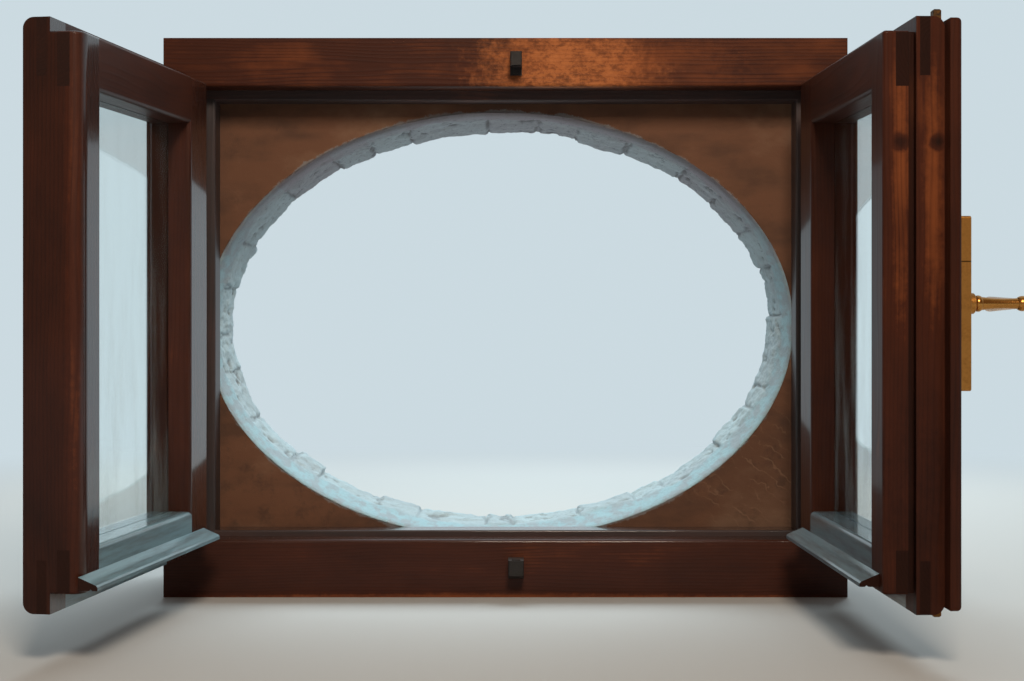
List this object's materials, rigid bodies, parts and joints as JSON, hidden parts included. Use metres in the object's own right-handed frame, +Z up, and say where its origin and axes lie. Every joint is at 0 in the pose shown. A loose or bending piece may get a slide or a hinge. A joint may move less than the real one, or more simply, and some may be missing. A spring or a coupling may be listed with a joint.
{
  "type": "round casement window",
  "caption": "Inward-opening double casement in stained timber with cremone bolt and drip mouldings, set before an oval opening in a stone-edged wall panel.",
  "frame": {"origin": "centre of the timber frame's underside: mid width and mid timber depth", "axes": "+X along the window to the right as seen from the room, +Y from the room towards the outdoors, +Z up"},
  "size_m": [0.8461, 0.5308, 0.5865],
  "materials": {
    "stained_timber": "glossy stain",
    "pane_glass": "clear",
    "brass": "worn satin",
    "gear_steel": "plain",
    "dark_iron": "dull",
    "hinge_metal": "dull",
    "brown_render": "mottled matt",
    "masonry": "rough matt",
    "reveal_stone": "rough matt"
  },
  "bodies": {
    "frame": {"frame_head": "stained_timber", "frame_bottom_rail": "stained_timber", "frame_left_jamb": "stained_timber", "frame_right_jamb": "stained_timber", "left_lower_hinge_pin_half": "hinge_metal", "left_upper_hinge_pin_half": "hinge_metal", "right_lower_hinge_pin_half": "hinge_metal", "right_upper_hinge_pin_half": "hinge_metal", "top_keep": "dark_iron", "bottom_keep": "dark_iron", "top_keep_screw": "dark_iron", "render_coat": "brown_render", "masonry_panel": "masonry", "stone_ring": "reveal_stone"},
    "left_leaf": {"left_hinge_stile": "stained_timber", "left_meeting_stile": "stained_timber", "left_top_rail": "stained_timber", "left_bottom_rail": "stained_timber", "left_top_bead": "stained_timber", "left_bottom_bead": "stained_timber", "left_hinge_bead": "stained_timber", "left_meeting_bead": "stained_timber", "left_drip_moulding": "stained_timber", "left_pane": "pane_glass", "left_lower_hinge_socket_half": "hinge_metal", "left_upper_hinge_socket_half": "hinge_metal"},
    "right_leaf": {"right_hinge_stile": "stained_timber", "right_meeting_stile": "stained_timber", "right_top_rail": "stained_timber", "right_bottom_rail": "stained_timber", "right_top_bead": "stained_timber", "right_bottom_bead": "stained_timber", "right_hinge_bead": "stained_timber", "right_meeting_bead": "stained_timber", "right_drip_moulding": "stained_timber", "right_pane": "pane_glass", "astragal": "stained_timber", "cremone_case": "brass", "case_screws": "brass", "right_lower_hinge_socket_half": "hinge_metal", "right_upper_hinge_socket_half": "hinge_metal"},
    "handle": {"cremone_handle": "brass", "cremone_pinion": "gear_steel"},
    "top_bolt": {"top_rod": "brass", "top_rack": "gear_steel"},
    "bottom_bolt": {"bottom_rod": "brass", "bottom_rack": "gear_steel"}
  },
  "joints": [
    {"name": "left_leaf_hinge", "type": "hinge", "parent": "frame", "child": "left_leaf", "pos_m": [-0.3387, -0.039, 0.298], "axis": [0, 0, -1], "range_deg": [-98.3, 6.7]},
    {"name": "right_leaf_hinge", "type": "hinge", "parent": "frame", "child": "right_leaf", "pos_m": [0.3387, -0.039, 0.298], "axis": [0, 0, 1], "range_deg": [-92.3, 12.7]},
    {"name": "handle_turn", "type": "hinge", "parent": "right_leaf", "child": "handle", "pos_m": [0.38862, -0.36496, 0.306], "axis": [-0.9992, -0.0401, 0], "range_deg": [0, 90]},
    {"name": "top_bolt_slide", "type": "slide", "parent": "right_leaf", "child": "top_bolt", "axis": [0, 0, 1], "range_m": [0, 0.0142]},
    {"name": "bottom_bolt_slide", "type": "slide", "parent": "right_leaf", "child": "bottom_bolt", "axis": [0, 0, -1], "range_m": [0, 0.0142]}
  ],
  "couplings": [
    {"joint": "top_bolt_slide", "follows": "handle_turn", "m_per_rad": 0.009},
    {"joint": "bottom_bolt_slide", "follows": "handle_turn", "m_per_rad": 0.009}
  ]
}
